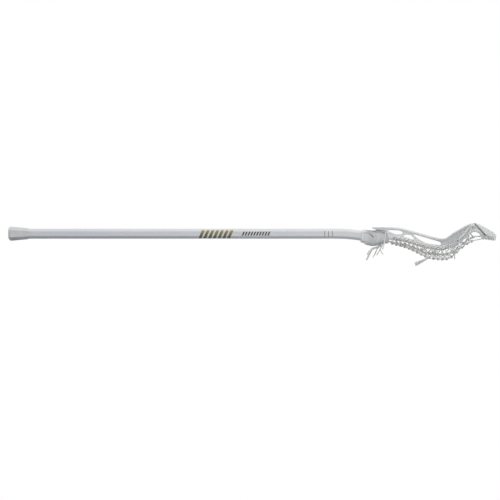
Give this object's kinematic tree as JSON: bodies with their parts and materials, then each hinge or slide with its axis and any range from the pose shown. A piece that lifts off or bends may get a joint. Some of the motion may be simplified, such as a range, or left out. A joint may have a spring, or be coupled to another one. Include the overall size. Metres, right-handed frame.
{
  "type": "lacrosse stick",
  "caption": "Women's lacrosse stick: octagonal handle with a rubber butt cap, a moulded open head with a raised scoop, and a laced thong pocket with loose string ends",
  "frame": {"origin": "On the handle's axis at the middle of the grip, 400 mm from the end face of the butt cap", "axes": "+X runs along the straight handle from the butt to the head, +Z points out of the open side of the pocket, +Y across the head to the left"},
  "size_m": [1.0854, 0.1844, 0.0948],
  "materials": {
    "handle_paint": "white semi-gloss paint over a fibre composite tube",
    "cap_rubber": "pale matt rubber",
    "head_nylon": "white satin injection-moulded nylon",
    "screw_steel": "zinc plated",
    "stop_foam": "white closed-cell foam",
    "thong_leather": "off-white tanned strip",
    "lace_cord": "off-white braided nylon cord",
    "shooter_lace": "white flat woven lace"
  },
  "bodies": {
    "root": {"handle_tube": "handle_paint", "butt_cap": "cap_rubber", "head_frame": "head_nylon", "head_screw": "screw_steel", "ball_stop_pad": "stop_foam", "thong_outer_left": "thong_leather", "thong_inner_left": "thong_leather", "thong_inner_right": "thong_leather", "thong_outer_right": "thong_leather", "cross_lace_left": "lace_cord", "cross_lace_centre": "lace_cord", "cross_lace_right": "lace_cord", "sidewall_string_left": "lace_cord", "sidewall_string_right": "lace_cord", "shooting_string_lower": "shooter_lace", "shooting_string_upper": "shooter_lace", "scoop_string": "lace_cord", "thong_tail_left": "thong_leather", "thong_tail_right": "thong_leather", "lace_tail_left": "lace_cord", "lace_tail_right": "lace_cord", "pocket_tail_left": "thong_leather", "pocket_tail_right": "thong_leather"}
  },
  "joints": []
}
